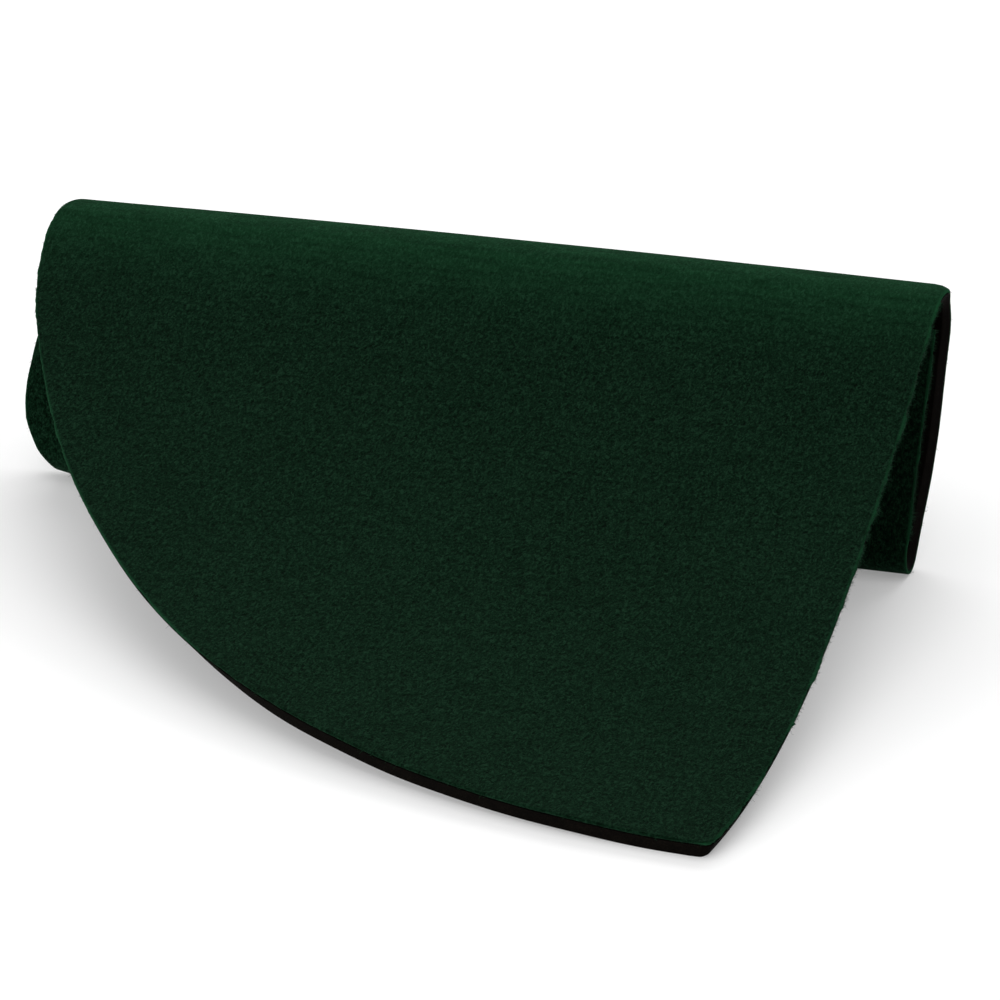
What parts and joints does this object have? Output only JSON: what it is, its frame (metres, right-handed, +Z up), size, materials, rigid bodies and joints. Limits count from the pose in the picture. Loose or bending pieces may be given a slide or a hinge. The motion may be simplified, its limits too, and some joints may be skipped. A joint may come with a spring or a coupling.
{
  "type": "folding poker table top",
  "caption": "Soft gaming table top of green felt on black foam with a quarter-round end, rolled over at two folds and opened flat for play.",
  "frame": {"origin": "under the middle of the folded object's box, on the surface that it stands on", "axes": "+X along the folds towards the straight cut edge, +Y from the front corner to the back, +Z up"},
  "size_m": [0.457, 0.4, 0.1251],
  "materials": {
    "felt": "dark green needle felt, fuzzy, slightly brighter on its cut edges",
    "foam": "black closed-cell foam with fine cut pores"
  },
  "bodies": {
    "front_strip_1": {"front_strip_1_felt": "felt", "front_strip_1_foam": "foam"},
    "front_strip_2": {"front_strip_2_felt": "felt", "front_strip_2_foam": "foam"},
    "front_strip_3": {"front_strip_3_felt": "felt", "front_strip_3_foam": "foam"},
    "front_strip_4": {"front_strip_4_felt": "felt", "front_strip_4_foam": "foam"},
    "top_fold_1": {"top_fold_1_felt": "felt", "top_fold_1_foam": "foam"},
    "top_fold_2": {"top_fold_2_felt": "felt", "top_fold_2_foam": "foam"},
    "top_fold_3": {"top_fold_3_felt": "felt", "top_fold_3_foam": "foam"},
    "back_panel": {"back_panel_felt": "felt", "back_panel_foam": "foam"},
    "bottom_fold_1": {"bottom_fold_1_felt": "felt", "bottom_fold_1_foam": "foam"},
    "bottom_fold_2": {"bottom_fold_2_felt": "felt", "bottom_fold_2_foam": "foam"},
    "bottom_fold_3": {"bottom_fold_3_felt": "felt", "bottom_fold_3_foam": "foam"},
    "inner_panel": {"inner_panel_felt": "felt", "inner_panel_foam": "foam"}
  },
  "joints": [
    {"name": "front_bend_1", "type": "hinge", "parent": "front_strip_1", "child": "front_strip_2", "pos_m": [0, -0.10373, 0.02341], "axis": [-1, 0, 0], "range_deg": [-2, 5.3]},
    {"name": "front_bend_2", "type": "hinge", "parent": "front_strip_2", "child": "front_strip_3", "pos_m": [0, -0.00908, 0.04781], "axis": [-1, 0, 0], "range_deg": [-2.01, 5.31]},
    {"name": "front_bend_3", "type": "hinge", "parent": "front_strip_3", "child": "front_strip_4", "pos_m": [0, 0.08292, 0.08084], "axis": [-1, 0, 0], "range_deg": [-2.01, 5.31]},
    {"name": "unfold", "type": "hinge", "parent": "front_strip_4", "child": "top_fold_1", "pos_m": [0, 0.1776, 0.12508], "axis": [1, 0, 0], "range_deg": [-0.9, 37.56]},
    {"name": "top_fold_bend_2", "type": "hinge", "parent": "top_fold_1", "child": "top_fold_2", "pos_m": [0, 0.19078, 0.12216], "axis": [1, 0, 0], "range_deg": [-0.91, 37.57]},
    {"name": "top_fold_bend_3", "type": "hinge", "parent": "top_fold_2", "child": "top_fold_3", "pos_m": [0, 0.19945, 0.1118], "axis": [1, 0, 0], "range_deg": [-0.91, 37.57]},
    {"name": "top_fold_bend_4", "type": "hinge", "parent": "top_fold_3", "child": "back_panel", "pos_m": [0, 0.2, 0.09831], "axis": [1, 0, 0], "range_deg": [-0.91, 37.57]},
    {"name": "bottom_fold_bend_1", "type": "hinge", "parent": "back_panel", "child": "bottom_fold_1", "pos_m": [0, 0.1319, 0.00176], "axis": [1, 0, 0], "range_deg": [-1.06, 43.44]},
    {"name": "bottom_fold_bend_2", "type": "hinge", "parent": "bottom_fold_1", "child": "bottom_fold_2", "pos_m": [0, 0.12298, -0.00003], "axis": [1, 0, 0], "range_deg": [-1.06, 43.44]},
    {"name": "bottom_fold_bend_3", "type": "hinge", "parent": "bottom_fold_2", "child": "bottom_fold_3", "pos_m": [0, 0.11528, 0.0048], "axis": [1, 0, 0], "range_deg": [-1.06, 43.44]},
    {"name": "bottom_fold_bend_4", "type": "hinge", "parent": "bottom_fold_3", "child": "inner_panel", "pos_m": [0, 0.11299, 0.0136], "axis": [1, 0, 0], "range_deg": [-1.06, 43.44]}
  ],
  "couplings": [
    {"joint": "front_bend_2", "follows": "front_bend_1", "ratio": 1},
    {"joint": "front_bend_3", "follows": "front_bend_1", "ratio": 1},
    {"joint": "top_fold_bend_2", "follows": "unfold", "ratio": 1},
    {"joint": "top_fold_bend_3", "follows": "unfold", "ratio": 1},
    {"joint": "top_fold_bend_4", "follows": "unfold", "ratio": 1},
    {"joint": "bottom_fold_bend_1", "follows": "unfold", "ratio": 1.1561},
    {"joint": "bottom_fold_bend_2", "follows": "unfold", "ratio": 1.1561},
    {"joint": "bottom_fold_bend_3", "follows": "unfold", "ratio": 1.1561},
    {"joint": "bottom_fold_bend_4", "follows": "unfold", "ratio": 1.1561}
  ]
}
